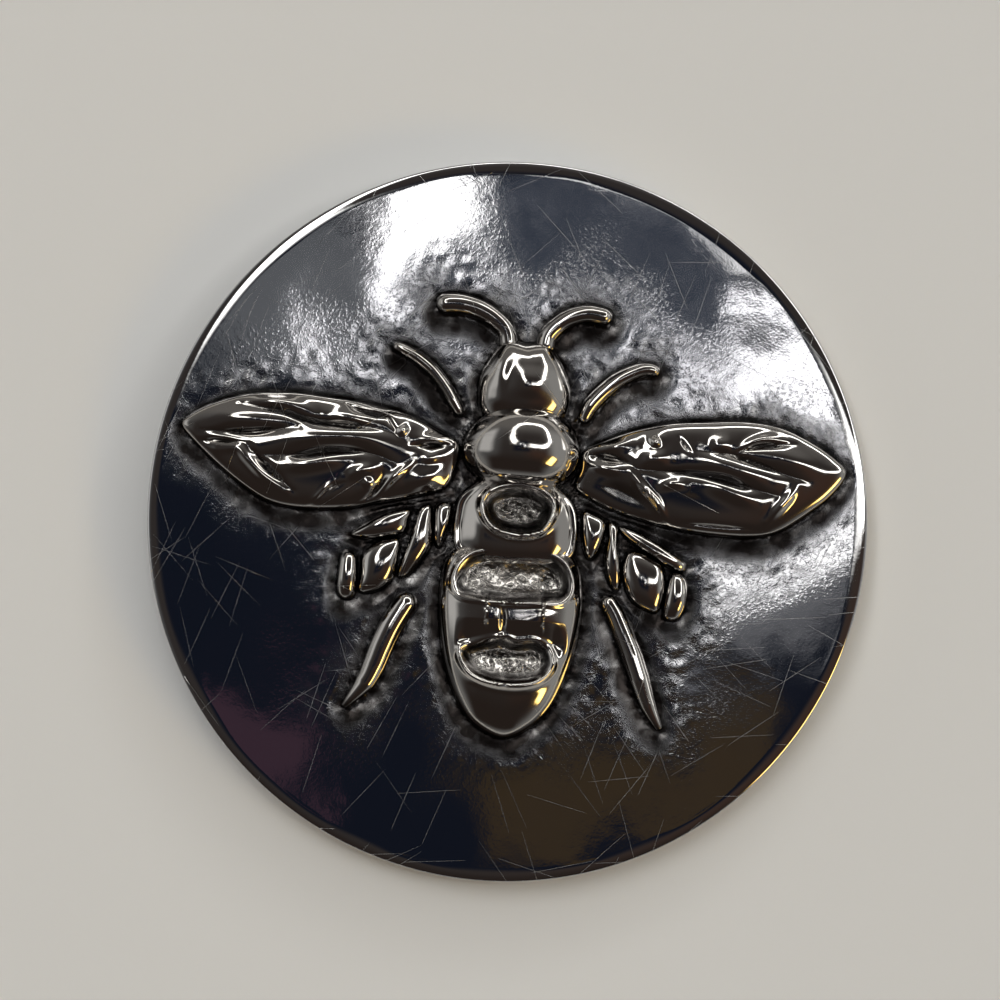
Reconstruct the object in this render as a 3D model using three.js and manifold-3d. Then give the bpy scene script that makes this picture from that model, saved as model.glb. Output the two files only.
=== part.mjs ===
// Golf ball marker: a round cast disc that carries a raised honeybee, with a steel disc
// glued into a shallow recess behind so that a magnetic clip can hold it.
//
// Units are millimetres. The origin is the centre of the flat back, +Z points out of the
// face and +Y points the way that the bee's head points.

import * as THREE from 'three';
import { mergeVertices } from 'three/addons/utils/BufferGeometryUtils.js';
import Module from 'manifold-3d';

const wasm = await Module();
wasm.setup();

// ---------------------------------------------------------------- driving dimensions

const DISC_RADIUS = 12.5;
const DISC_THICKNESS = 1.6;
const RIM_ROUND = 0.3;
const BACK_ROUND = 0.15;
const DISC_SIDES = 72;
const INSERT_SIDES = 48;
const RIM_STEPS = 5;

const STEEL_RADIUS = 10.4;
const STEEL_THICKNESS = 0.8;
const STEEL_CHAMFER = 0.1;
const GLUE_RADIUS = 10.2;
const GLUE_THICKNESS = 0.12;
const POCKET_CLEARANCE = 0.1;
const POCKET_RADIUS = STEEL_RADIUS + POCKET_CLEARANCE;
const POCKET_DEPTH = STEEL_THICKNESS + GLUE_THICKNESS;

// The face of the disc, on which every piece of the bee sits.
const SEAT = DISC_THICKNESS;

// The gap that the pieces of the bee keep where one is shaped round another.
const JOINT_GAP = 0.04;

// How far each piece of the bee stands above the face.
const THORAX_HEIGHT = 1.8;
const HEAD_HEIGHT = 1.25;
const ABDOMEN_HEIGHT = 1.35;
const WAIST_HEIGHT = 0.95;
const FOREWING_HEIGHT = 0.85;
const HINDWING_HEIGHT = 0.55;
const ANTENNA_HEIGHT = 0.5;
const LEG_HEIGHT = 0.5;

// The section of each domed piece: 2 is an ellipse, and more gives steeper walls and a
// flatter crown.
const THORAX_SECTION = 2;
const HEAD_SECTION = 2.4;
const ABDOMEN_SECTION = 3;
const WAIST_SECTION = 3.5;
const FOREWING_SECTION = 3.2;
const HINDWING_SECTION = 3.5;

// How many sides each outline has.
const THORAX_SIDES = 36;
const HEAD_SIDES = 40;
const ABDOMEN_SIDES = 44;
const WAIST_SIDES = 36;
const BOWL_SIDES = 24;
const WAIST_BOWL_SIDES = 20;
const FOREWING_SIDES = 48;
const HINDWING_SIDES = 16;

// A domed piece starts almost upright from its foot.
const DOME_RINGS = 5;
const FOOT_REACH = 0.995;
const FOOT_RISE = 0.12;

// The bowls across the back of the bee, by the height of the floor above the face.
const FRONT_BOWL_FLOOR = 0.85;
const REAR_BOWL_FLOOR = 0.8;
const WAIST_BOWL_FLOOR = 0.45;
const BOWL_EDGE = 0.12;
const BOWL_CUT_HEIGHT = 2;

// The round along the top of the antennae and legs. A bar with a narrow end has less.
const BAR_ROUND = 0.2;
const BAR_ROUND_MARGIN = 0.01;
const BAR_STEPS = 10;
const BAR_CAP_SIDES = 5;
const EDGE_ROUND_STEPS = 3;

// A block larger than the whole part, for cutting a foot flat.
const BLOCK_WIDTH = 40;
const BLOCK_DEPTH = 4;

const PLATING = { color: 0x6d6c70, roughness: 0.14, metalness: 1.0 };
const STEEL = { color: 0xa9abad, roughness: 0.32, metalness: 1.0 };
const GLUE = { color: 0xc9b98a, roughness: 0.6, metalness: 0.0 };

const marker = new THREE.Group();

function addPiece(name, geometry, finish) {
  geometry.computeVertexNormals();
  const mesh = new THREE.Mesh(geometry, new THREE.MeshStandardMaterial(finish));
  mesh.name = name;
  marker.add(mesh);
}

// ---------------------------------------------------------------- cutting and joining

function toSolid(geometry) {
  const bare = geometry.clone();
  bare.deleteAttribute('normal');
  bare.deleteAttribute('uv');
  const merged = mergeVertices(bare, 1e-4);
  return new wasm.Manifold(new wasm.Mesh({
    numProp: 3,
    vertProperties: new Float32Array(merged.attributes.position.array),
    triVerts: new Uint32Array(merged.index.array),
  }));
}

function toGeometry(solid) {
  const mesh = solid.getMesh();
  const geometry = new THREE.BufferGeometry();
  geometry.setAttribute('position', new THREE.BufferAttribute(mesh.vertProperties, 3));
  geometry.setIndex(new THREE.BufferAttribute(mesh.triVerts, 1));
  return geometry;
}

// ---------------------------------------------------------------- outlines

// A closed smooth outline through a few points, given anticlockwise.
function closedOutline(list, count) {
  const spots = list.map(([x, y]) => new THREE.Vector3(x, y, 0));
  const curve = new THREE.CatmullRomCurve3(spots, true, 'centripetal');
  const outline = [];
  for (let i = 0; i < count; i += 1) {
    const spot = curve.getPoint(i / count);
    outline.push(new THREE.Vector2(spot.x, spot.y));
  }
  return outline;
}

// The outline of a round-ended bar that follows a curve. The half width runs through the
// values in the list from the first end to the last.
function barOutline(list, halfWidths, steps, capSides) {
  const spots = list.map(([x, y]) => new THREE.Vector3(x, y, 0));
  const curve = new THREE.CatmullRomCurve3(spots, false, 'centripetal');
  const halfWidthAt = (t) => {
    const place = t * (halfWidths.length - 1);
    const first = Math.min(Math.floor(place), halfWidths.length - 2);
    return THREE.MathUtils.lerp(halfWidths[first], halfWidths[first + 1], place - first);
  };
  const sidePoint = (t, turn) => {
    const spot = curve.getPoint(t);
    const along = curve.getTangent(t);
    const heading = Math.atan2(along.y, along.x) + turn;
    const reach = halfWidthAt(t);
    return new THREE.Vector2(spot.x + reach * Math.cos(heading),
      spot.y + reach * Math.sin(heading));
  };
  const outline = [];
  for (let i = 0; i <= steps; i += 1) {
    outline.push(sidePoint(i / steps, -Math.PI / 2));
  }
  for (let i = 1; i < capSides; i += 1) {
    outline.push(sidePoint(1, -Math.PI / 2 + Math.PI * i / capSides));
  }
  for (let i = steps; i >= 0; i -= 1) {
    outline.push(sidePoint(i / steps, Math.PI / 2));
  }
  for (let i = 1; i < capSides; i += 1) {
    outline.push(sidePoint(0, Math.PI / 2 + Math.PI * i / capSides));
  }
  return outline;
}

// ---------------------------------------------------------------- solids on the seat

// A dome whose foot is the outline and whose crown is above the given centre. A grow above
// zero makes the same dome larger all round and sinks its foot, to cut a neighbour with.
function domeOn(outline, centre, height, section, grow = 0) {
  const foot = grow > 0 ? -1 : 0;
  const profile = [new THREE.Vector2(0, foot), new THREE.Vector2(1, foot)];
  if (grow > 0) {
    profile.push(new THREE.Vector2(1, 0));
  }
  if (grow === 0) {
    profile.push(new THREE.Vector2(FOOT_REACH, FOOT_RISE));
  }
  for (let i = 1; i < DOME_RINGS; i += 1) {
    const rise = Math.sin(Math.PI / 2 * i / DOME_RINGS);
    const reach = (1 - rise ** section) ** (1 / section);
    profile.push(new THREE.Vector2(reach, rise));
  }
  profile.push(new THREE.Vector2(0, 1));
  const geometry = new THREE.LatheGeometry(profile, outline.length);
  const spots = geometry.attributes.position;
  const perSide = profile.length;
  for (let i = 0; i < spots.count; i += 1) {
    const side = Math.floor(i / perSide) % outline.length;
    const reach = profile[i % perSide].x;
    const rise = profile[i % perSide].y;
    const edge = outline[side].clone().sub(new THREE.Vector2(...centre));
    edge.setLength(edge.length() + grow);
    spots.setXYZ(i, centre[0] + reach * edge.x, centre[1] + reach * edge.y,
      SEAT + rise * (height + grow));
  }
  return toSolid(geometry);
}

// A slab with rounded upper edges. It stands on the seat, or on another level where it is
// the tool that cuts a bowl.
function slabOn(outline, height, round, base = SEAT) {
  const shape = new THREE.Shape(outline);
  const geometry = new THREE.ExtrudeGeometry(shape, {
    depth: height - round,
    steps: 1,
    bevelEnabled: true,
    bevelThickness: round,
    bevelSize: round,
    bevelOffset: -round,
    bevelSegments: EDGE_ROUND_STEPS,
  });
  geometry.translate(0, 0, base);
  return toSolid(geometry).subtract(belowPlane(base));
}

function belowPlane(level) {
  const block = new THREE.BoxGeometry(BLOCK_WIDTH, BLOCK_WIDTH, BLOCK_DEPTH);
  block.translate(0, 0, level - BLOCK_DEPTH / 2);
  return toSolid(block);
}

// ---------------------------------------------------------------- disc, steel and glue

// The cast disc: a round plate with a rounded front edge, a lightly eased back edge and a
// shallow round pocket in the back.
const discProfile = [
  new THREE.Vector2(0, POCKET_DEPTH),
  new THREE.Vector2(POCKET_RADIUS, POCKET_DEPTH),
  new THREE.Vector2(POCKET_RADIUS, 0),
  new THREE.Vector2(DISC_RADIUS - BACK_ROUND, 0),
  new THREE.Vector2(DISC_RADIUS, BACK_ROUND),
];
for (let i = 0; i <= RIM_STEPS; i += 1) {
  const turn = Math.PI / 2 * i / RIM_STEPS;
  discProfile.push(new THREE.Vector2(
    DISC_RADIUS - RIM_ROUND + RIM_ROUND * Math.cos(turn),
    DISC_THICKNESS - RIM_ROUND + RIM_ROUND * Math.sin(turn)));
}
discProfile.push(new THREE.Vector2(0, DISC_THICKNESS));

function latheUpright(profile, sides) {
  const geometry = new THREE.LatheGeometry(profile, sides);
  geometry.rotateX(Math.PI / 2);
  return geometry;
}

addPiece('face_disc', toGeometry(toSolid(latheUpright(discProfile, DISC_SIDES))), PLATING);

// The steel disc that a magnet pulls on, flush with the back of the casting.
const steelProfile = [
  new THREE.Vector2(0, 0),
  new THREE.Vector2(STEEL_RADIUS - STEEL_CHAMFER, 0),
  new THREE.Vector2(STEEL_RADIUS, STEEL_CHAMFER),
  new THREE.Vector2(STEEL_RADIUS, STEEL_THICKNESS),
  new THREE.Vector2(0, STEEL_THICKNESS),
];
addPiece('steel_backing_disc',
  toGeometry(toSolid(latheUpright(steelProfile, INSERT_SIDES))), STEEL);

// The layer of glue between the steel and the floor of the pocket.
const glueProfile = [
  new THREE.Vector2(0, STEEL_THICKNESS),
  new THREE.Vector2(GLUE_RADIUS, STEEL_THICKNESS),
  new THREE.Vector2(GLUE_RADIUS, POCKET_DEPTH),
  new THREE.Vector2(0, POCKET_DEPTH),
];
addPiece('adhesive_layer', toGeometry(toSolid(latheUpright(glueProfile, INSERT_SIDES))), GLUE);

// ---------------------------------------------------------------- body of the bee

const thoraxOutline = closedOutline([
  [2.36, 2.5], [2.08, 3.3], [1.4, 3.95], [0.35, 4.15], [-0.65, 3.92], [-1.4, 3.25],
  [-1.72, 2.45], [-1.45, 1.75], [-0.75, 1.28], [0.35, 1.15], [1.45, 1.25], [2.15, 1.75],
], THORAX_SIDES);
const thoraxCentre = [0.33, 2.65];
const thorax = domeOn(thoraxOutline, thoraxCentre, THORAX_HEIGHT, THORAX_SECTION);
const thoraxCutter = domeOn(thoraxOutline, thoraxCentre, THORAX_HEIGHT, THORAX_SECTION,
  JOINT_GAP);
addPiece('thorax', toGeometry(thorax), PLATING);

// The head is a bell whose two horns run up into the antennae, with its back edge tucked
// behind the thorax.
const headOutline = closedOutline([
  [1.9, 4.3], [1.86, 4.85], [1.62, 5.45], [1.25, 6.0], [1.05, 6.42], [0.68, 6.3],
  [0.3, 6.12], [-0.08, 6.3], [-0.48, 6.48], [-0.68, 6.0], [-1.02, 5.5], [-1.26, 5.0],
  [-1.3, 4.4], [-1.1, 3.7], [-0.4, 3.25], [0.3, 3.15], [1.0, 3.25], [1.7, 3.7],
], HEAD_SIDES);
const headCentre = [0.3, 4.7];
const wholeHead = domeOn(headOutline, headCentre, HEAD_HEIGHT, HEAD_SECTION);
const headCutter = domeOn(headOutline, headCentre, HEAD_HEIGHT, HEAD_SECTION, JOINT_GAP);
addPiece('head', toGeometry(wholeHead.subtract(thoraxCutter)), PLATING);

// The abdomen is egg shaped, with two broad shallow bowls across its back.
const abdomenOutline = closedOutline([
  [0.35, -0.62], [-0.8, -0.66], [-1.6, -0.88], [-2.05, -1.45], [-2.2, -2.5],
  [-2.1, -3.9], [-1.85, -5.1], [-1.4, -6.2], [-0.75, -7.05], [0.3, -7.5], [1.2, -7.1],
  [1.9, -6.35], [2.4, -5.2], [2.7, -3.9], [2.78, -2.6], [2.6, -1.5], [2.15, -0.88],
  [1.4, -0.66],
], ABDOMEN_SIDES);
const abdomenCentre = [0.3, -3.6];
const frontBowl = closedOutline([
  [0.4, -0.95], [-0.8, -1.05], [-1.5, -1.5], [-1.7, -2.2], [-1.3, -2.62], [-0.3, -2.68],
  [1.2, -2.66], [2.1, -2.62], [2.4, -2.1], [2.1, -1.4], [1.5, -1.05],
], BOWL_SIDES);
const rearBowl = closedOutline([
  [0.1, -4.0], [-0.7, -4.18], [-1.3, -4.5], [-1.05, -5.15], [-0.4, -5.5], [0.5, -5.58],
  [1.35, -5.42], [1.85, -4.95], [1.75, -4.3], [1.2, -4.06], [0.6, -4.1],
], BOWL_SIDES);
const abdomen = domeOn(abdomenOutline, abdomenCentre, ABDOMEN_HEIGHT, ABDOMEN_SECTION)
  .subtract(slabOn(frontBowl, BOWL_CUT_HEIGHT, BOWL_EDGE, SEAT + FRONT_BOWL_FLOOR))
  .subtract(slabOn(rearBowl, BOWL_CUT_HEIGHT, BOWL_EDGE, SEAT + REAR_BOWL_FLOOR));
const abdomenCutter = domeOn(abdomenOutline, abdomenCentre, ABDOMEN_HEIGHT,
  ABDOMEN_SECTION, JOINT_GAP);
addPiece('abdomen', toGeometry(abdomen), PLATING);

// The waist joins thorax and abdomen: two sloping shoulders and, between them, a raised
// collar round a bowl.
const waistOutline = closedOutline([
  [2.3, 0.65], [2.0, 1.05], [1.3, 1.5], [0.3, 1.6], [-0.7, 1.5], [-1.3, 1.15],
  [-1.72, 0.7], [-1.82, 0.1], [-1.85, -0.5], [-1.6, -1.0], [-0.8, -1.1], [0.3, -1.1],
  [1.5, -1.1], [2.3, -1.0], [2.45, -0.4], [2.42, 0.15],
], WAIST_SIDES);
const waistCentre = [0.3, 0.2];
const waistBowl = closedOutline([
  [1.45, 0.5], [1.2, 0.95], [0.35, 1.1], [-0.5, 0.95], [-0.8, 0.5], [-0.45, -0.08],
  [0.35, -0.3], [1.1, -0.12],
], WAIST_BOWL_SIDES);
const waist = domeOn(waistOutline, waistCentre, WAIST_HEIGHT, WAIST_SECTION)
  .subtract(slabOn(waistBowl, BOWL_CUT_HEIGHT, BOWL_EDGE, SEAT + WAIST_BOWL_FLOOR))
  .subtract(thoraxCutter)
  .subtract(abdomenCutter);
addPiece('waist_boss', toGeometry(waist), PLATING);

// ---------------------------------------------------------------- antennae and legs

// A bar whose inner end butts against a neighbour is cut to fit round it.
function addBar(name, curve, halfWidths, height, cutter = null) {
  const outline = barOutline(curve, halfWidths, BAR_STEPS, BAR_CAP_SIDES);
  const round = Math.min(BAR_ROUND, Math.min(...halfWidths) - BAR_ROUND_MARGIN);
  const bar = slabOn(outline, height, round);
  addPiece(name, toGeometry(cutter ? bar.subtract(cutter) : bar), PLATING);
}

addBar('left_antenna', [
  [-2.6, 7.38], [-2.0, 7.42], [-1.4, 7.28], [-0.85, 6.98], [-0.45, 6.6], [-0.3, 6.1],
], [0.36, 0.36, 0.34, 0.3, 0.24], ANTENNA_HEIGHT, headCutter);
addBar('right_antenna', [
  [2.85, 7.26], [2.3, 7.36], [1.8, 7.22], [1.35, 6.92], [1.0, 6.55], [0.9, 6.1],
], [0.33, 0.33, 0.32, 0.3, 0.24], ANTENNA_HEIGHT, headCutter);
addBar('left_foreleg', [
  [-4.1, 5.78], [-3.5, 5.52], [-2.95, 5.1], [-2.5, 4.6], [-2.15, 4.1], [-1.9, 3.7],
], [0.18, 0.24, 0.26, 0.26, 0.2], LEG_HEIGHT, thoraxCutter);
addBar('right_foreleg', [
  [4.75, 5.52], [4.2, 5.5], [3.55, 5.15], [3.0, 4.65], [2.6, 4.15], [2.42, 3.7],
], [0.22, 0.26, 0.28, 0.28, 0.24], LEG_HEIGHT, thoraxCutter);
addBar('left_hind_leg', [
  [-3.4, -3.15], [-3.75, -3.8], [-4.05, -4.5], [-4.3, -5.2], [-4.6, -5.9], [-5.15, -6.65],
], [0.36, 0.42, 0.42, 0.42, 0.4, 0.14], LEG_HEIGHT);
addBar('right_hind_leg', [
  [3.8, -2.7], [4.15, -3.35], [4.55, -4.2], [4.9, -5.1], [5.25, -6.0], [5.62, -6.75],
], [0.3, 0.34, 0.38, 0.38, 0.32, 0.14], LEG_HEIGHT);

// ---------------------------------------------------------------- wings

// Each forewing is one broad leaf with a crowned top.
const leftForewing = closedOutline([
  [-11.45, 2.62], [-10.9, 2.0], [-10.0, 1.22], [-9.0, 0.52], [-8.2, 0.14], [-7.2, 0.0],
  [-5.7, 0.08], [-4.6, 0.34], [-3.2, 0.68], [-2.2, 1.05], [-1.9, 1.75], [-1.85, 2.6],
  [-2.6, 3.02], [-3.6, 3.48], [-5.0, 3.78], [-6.4, 3.92], [-7.8, 4.0], [-9.2, 3.85],
  [-10.4, 3.45], [-11.2, 2.98],
], FOREWING_SIDES);
const leftForewingCentre = [-6.5, 2.1];
addPiece('left_forewing', toGeometry(
  domeOn(leftForewing, leftForewingCentre, FOREWING_HEIGHT, FOREWING_SECTION)), PLATING);

const rightForewing = closedOutline([
  [11.6, 2.4], [11.2, 2.9], [10.3, 3.45], [9.2, 3.88], [8.0, 4.0], [6.6, 3.9],
  [5.4, 3.76], [4.2, 3.44], [3.2, 3.02], [2.5, 2.62], [2.42, 2.0], [2.3, 1.3],
  [3.2, 0.78], [4.4, 0.4], [5.7, 0.12], [6.8, 0.0], [8.2, -0.02], [9.2, 0.16],
  [10.1, 0.72], [11.1, 1.6],
], FOREWING_SIDES);
const rightForewingCentre = [6.9, 2.0];
addPiece('right_forewing', toGeometry(
  domeOn(rightForewing, rightForewingCentre, FOREWING_HEIGHT, FOREWING_SECTION)), PLATING);

// Each hindwing is a fan of five small raised panels with gaps between them.
const leftHindwing = {
  front: [[-3.45, 0.18], [-4.05, 0.1], [-4.7, -0.25], [-5.3, -0.76], [-4.7, -0.88],
    [-4.1, -0.74], [-3.6, -0.6], [-3.48, -0.2]],
  middle: [[-3.72, -0.9], [-4.2, -0.9], [-4.65, -1.15], [-4.9, -1.5], [-4.92, -2.1],
    [-4.95, -2.65], [-4.65, -2.74], [-4.2, -2.56], [-3.88, -2.2], [-3.74, -1.55]],
  outer: [[-5.16, -1.55], [-5.42, -1.36], [-5.66, -1.55], [-5.72, -2.1], [-5.72, -2.75],
    [-5.48, -3.0], [-5.16, -2.86], [-5.1, -2.2]],
  leaf: [[-2.72, 0.36], [-3.08, 0.24], [-3.2, -0.3], [-3.4, -1.0], [-3.56, -1.6],
    [-3.62, -2.08], [-3.28, -2.0], [-2.9, -1.52], [-2.6, -0.9], [-2.62, -0.2]],
  root: [[-2.0, 0.5], [-2.46, 0.42], [-2.5, -0.2], [-2.48, -0.75], [-2.3, -1.02],
    [-2.12, -0.6], [-1.98, 0.0]],
};
const rightHindwing = {
  front: [[3.95, 0.06], [4.15, -0.28], [4.6, -0.58], [5.1, -0.86], [5.6, -1.18],
    [6.1, -1.3], [6.15, -1.0], [5.6, -0.6], [5.0, -0.26], [4.45, 0.0]],
  middle: [[4.25, -0.86], [4.12, -1.4], [4.24, -1.95], [4.5, -2.42], [4.9, -2.68],
    [5.3, -2.76], [5.5, -2.4], [5.56, -1.8], [5.42, -1.22], [5.0, -0.92], [4.6, -0.78]],
  outer: [[5.78, -1.5], [5.66, -2.1], [5.6, -2.7], [5.7, -3.0], [6.05, -3.0],
    [6.28, -2.66], [6.36, -2.1], [6.26, -1.6], [6.0, -1.4]],
  leaf: [[3.54, 0.16], [3.52, -0.4], [3.45, -1.1], [3.58, -1.7], [3.85, -2.08],
    [4.02, -1.9], [3.98, -1.3], [3.88, -0.6], [3.82, 0.06]],
  root: [[2.62, 0.5], [2.6, -0.1], [2.72, -0.8], [2.95, -1.1], [3.22, -0.8],
    [3.38, -0.2], [3.36, 0.24], [3.0, 0.46]],
};
function addHindwing(side, panels) {
  for (const [panel, spots] of Object.entries(panels)) {
    const outline = closedOutline(spots, HINDWING_SIDES);
    const middle = new THREE.Box2().setFromPoints(outline).getCenter(new THREE.Vector2());
    const cushion = domeOn(outline, middle.toArray(), HINDWING_HEIGHT, HINDWING_SECTION);
    addPiece(`${side}_hindwing_${panel}_panel`, toGeometry(cushion), PLATING);
  }
}
addHindwing('left', leftHindwing);
addHindwing('right', rightHindwing);

export default marker;
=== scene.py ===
# A golf ball marker: a cast and nickel-plated disc with a raised honeybee on its face, and a
# steel disc glued into a round pocket in its back. The sections below follow it from back to
# front, as it is put together. Sizes are in millimetres until a piece is handed to the frame.

import math

import bpy
import numpy as np
from mathutils import Matrix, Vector
from mathutils.kdtree import KDTree


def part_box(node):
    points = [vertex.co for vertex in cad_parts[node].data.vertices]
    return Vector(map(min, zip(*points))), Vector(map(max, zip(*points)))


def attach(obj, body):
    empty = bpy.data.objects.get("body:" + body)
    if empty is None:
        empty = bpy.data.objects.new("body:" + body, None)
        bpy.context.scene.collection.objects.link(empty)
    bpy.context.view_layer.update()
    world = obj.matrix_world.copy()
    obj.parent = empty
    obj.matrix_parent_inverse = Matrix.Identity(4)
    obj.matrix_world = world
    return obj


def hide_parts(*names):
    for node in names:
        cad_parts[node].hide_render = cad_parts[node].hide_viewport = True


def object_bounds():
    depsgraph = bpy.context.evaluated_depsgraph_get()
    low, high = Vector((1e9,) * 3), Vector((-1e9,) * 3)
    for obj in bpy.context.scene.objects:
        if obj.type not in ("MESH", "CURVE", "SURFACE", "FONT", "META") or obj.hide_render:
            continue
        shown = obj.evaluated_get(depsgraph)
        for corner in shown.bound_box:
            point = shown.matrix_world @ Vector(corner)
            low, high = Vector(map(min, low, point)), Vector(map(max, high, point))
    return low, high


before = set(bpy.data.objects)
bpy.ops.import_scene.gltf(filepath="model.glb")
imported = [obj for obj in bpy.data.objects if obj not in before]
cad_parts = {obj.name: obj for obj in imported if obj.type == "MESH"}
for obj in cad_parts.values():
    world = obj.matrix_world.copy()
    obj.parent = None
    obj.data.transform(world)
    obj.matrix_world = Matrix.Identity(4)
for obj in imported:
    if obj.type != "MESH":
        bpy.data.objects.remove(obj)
cad_low, cad_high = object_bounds()
bpy.ops.object.select_all(action="DESELECT")

# ------------------------------------------------------------------ steel backing disc
# A stamped disc of plated steel that a magnetic clip pulls on. It is brushed in circles, its
# outer edge is broken, and it lies flush with the back of the casting that it is glued into.

MM = 0.001


def low_high(node):
    """The lowest and highest corner of a CAD node, in millimetres."""
    low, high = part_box(node)
    return np.array(low) / MM, np.array(high) / MM


def turn_profile(profile, steps):
    """Draws a profile of (radius, height) points and spins it into a closed solid."""
    start = profile[0]
    bpy.ops.mesh.primitive_plane_add(size=1, location=(start[0], 0, start[1]))
    bpy.ops.object.mode_set(mode="EDIT")
    bpy.ops.mesh.merge(type="CENTER")
    for here, there in zip(profile, profile[1:]):
        step = (there[0] - here[0], 0, there[1] - here[1])
        bpy.ops.mesh.extrude_region_move(TRANSFORM_OT_translate={"value": step})
    bpy.ops.mesh.select_all(action="SELECT")
    bpy.ops.mesh.spin(steps=steps, angle=2 * math.pi, center=(0, 0, 0), axis=(0, 0, 1))
    bpy.ops.mesh.select_all(action="SELECT")
    bpy.ops.mesh.remove_doubles(threshold=0.0005)
    bpy.ops.mesh.normals_make_consistent(inside=False)
    bpy.ops.object.mode_set(mode="OBJECT")
    bpy.ops.object.transform_apply()
    return bpy.context.object


def set_down(piece, name, nodes, material):
    """Names a finished piece, turns it to metres and hands it to the frame."""
    piece.name = name
    piece.data.name = name
    piece.data.transform(Matrix.Scale(MM, 4) @ piece.matrix_world)
    piece.matrix_world = Matrix.Identity(4)
    piece.data.materials.clear()
    piece.data.materials.append(material)
    bpy.ops.object.select_all(action="DESELECT")
    piece.select_set(True)
    bpy.context.view_layer.objects.active = piece
    bpy.ops.object.shade_smooth_by_angle(angle=math.radians(40))
    bpy.ops.object.select_all(action="DESELECT")
    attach(piece, "root")
    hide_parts(*nodes)


def new_material(name, colour, metallic, roughness):
    """A material with a Principled shader, and its tree, for a section to add nodes to."""
    material = bpy.data.materials.new(name)
    material.use_nodes = True
    shader = material.node_tree.nodes["Principled BSDF"]
    shader.inputs["Base Color"].default_value = (*colour, 1)
    shader.inputs["Metallic"].default_value = metallic
    shader.inputs["Roughness"].default_value = roughness
    return material, material.node_tree, shader


def add_node(tree, kind, **settings):
    """Adds a node and sets its plain properties, and its inputs where a name is a socket."""
    node = tree.nodes.new(kind)
    for key, value in settings.items():
        if hasattr(node, key):
            setattr(node, key, value)
        else:
            node.inputs[key.replace("_", " ")].default_value = value
    return node


def join(tree, start, end):
    """Links one socket to another."""
    tree.links.new(start, end)


steel_material, tree, shader = new_material("brushed_steel", (0.6, 0.6, 0.61), 1.0, 0.3)
place = add_node(tree, "ShaderNodeTexCoord")
rings = add_node(tree, "ShaderNodeTexWave", wave_type="RINGS", rings_direction="Z",
                 Scale=900.0, Distortion=1.5, Detail=2.0, Detail_Scale=1.5)
spread = add_node(tree, "ShaderNodeMapRange", From_Min=0.0, From_Max=1.0,
                  To_Min=0.24, To_Max=0.42)
bump = add_node(tree, "ShaderNodeBump", Strength=0.25, Distance=0.00001)
join(tree, place.outputs["Object"], rings.inputs["Vector"])
join(tree, rings.outputs["Fac"], spread.inputs["Value"])
join(tree, spread.outputs["Result"], shader.inputs["Roughness"])
join(tree, rings.outputs["Fac"], bump.inputs["Height"])
join(tree, bump.outputs["Normal"], shader.inputs["Normal"])

steel_low, steel_high = low_high("steel_backing_disc")
steel_radius = steel_high[0]
edge_break = 0.1
edge_middle = 0.3 * edge_break
steel_disc = turn_profile([
    (0, steel_low[2]),
    (steel_radius - edge_break, steel_low[2]),
    (steel_radius - edge_middle, steel_low[2] + edge_middle),
    (steel_radius, steel_low[2] + edge_break),
    (steel_radius, steel_high[2] - edge_break),
    (steel_radius - edge_break, steel_high[2]),
    (0, steel_high[2]),
], 160)
set_down(steel_disc, "steel_disc", ["steel_backing_disc"], steel_material)

# ------------------------------------------------------------------ adhesive
# A thin film of clear glue between the steel and the floor of the pocket. Its edge has
# crept a little and unevenly, as glue does when a disc is pressed down on it.

glue_material, tree, shader = new_material("cured_glue", (0.55, 0.47, 0.28), 0.0, 0.35)
place = add_node(tree, "ShaderNodeTexCoord")
cloud = add_node(tree, "ShaderNodeTexNoise", Scale=900.0, Detail=3.0)
tint = add_node(tree, "ShaderNodeMapRange", To_Min=0.25, To_Max=0.5)
join(tree, place.outputs["Object"], cloud.inputs["Vector"])
join(tree, cloud.outputs["Fac"], tint.inputs["Value"])
join(tree, tint.outputs["Result"], shader.inputs["Roughness"])

glue_low, glue_high = low_high("adhesive_layer")
glue_radius = glue_high[0]
glue_bulge = 0.02
glue_layer = turn_profile([
    (0, glue_low[2]),
    (glue_radius - glue_bulge, glue_low[2]),
    (glue_radius, (glue_low[2] + glue_high[2]) / 2),
    (glue_radius - glue_bulge, glue_high[2]),
    (0, glue_high[2]),
], 96)
for vertex in glue_layer.data.vertices:
    turn = math.atan2(vertex.co.y, vertex.co.x)
    creep = 1 + 0.004 * math.sin(5 * turn) + 0.003 * math.sin(11 * turn + 1)
    vertex.co.x *= creep
    vertex.co.y *= creep
set_down(glue_layer, "glue_film", ["adhesive_layer"], glue_material)

# ------------------------------------------------------------------ plated finish
# The casting is polished, plated in nickel and left to darken in its recesses. The same dark
# colour also carries painted shade in the moat, at the feet of the forms, in grooves and on
# the walls of bowls. Where the polishing wheel can't reach, close to the bee, the face keeps
# the pitted skin of the mould.


def new_group(name, inputs, outputs):
    """A shader node group with float sockets, and its input and output nodes."""
    group = bpy.data.node_groups.new(name, "ShaderNodeTree")
    for label, start in inputs:
        kind = "NodeSocketVector" if start is None else "NodeSocketFloat"
        socket = group.interface.new_socket(label, in_out="INPUT", socket_type=kind)
        if start is not None:
            socket.default_value = start
    for label in outputs:
        group.interface.new_socket(label, in_out="OUTPUT", socket_type="NodeSocketFloat")
    return group, add_node(group, "NodeGroupInput"), add_node(group, "NodeGroupOutput")


def maths(tree, operation, first, second=None, third=None):
    """A Math node on sockets or plain numbers. Returns its result."""
    node = add_node(tree, "ShaderNodeMath", operation=operation)
    for slot, value in enumerate((first, second, third)):
        if value is None:
            continue
        if isinstance(value, (int, float)):
            node.inputs[slot].default_value = value
        else:
            join(tree, value, node.inputs[slot])
    return node.outputs[0]


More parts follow.
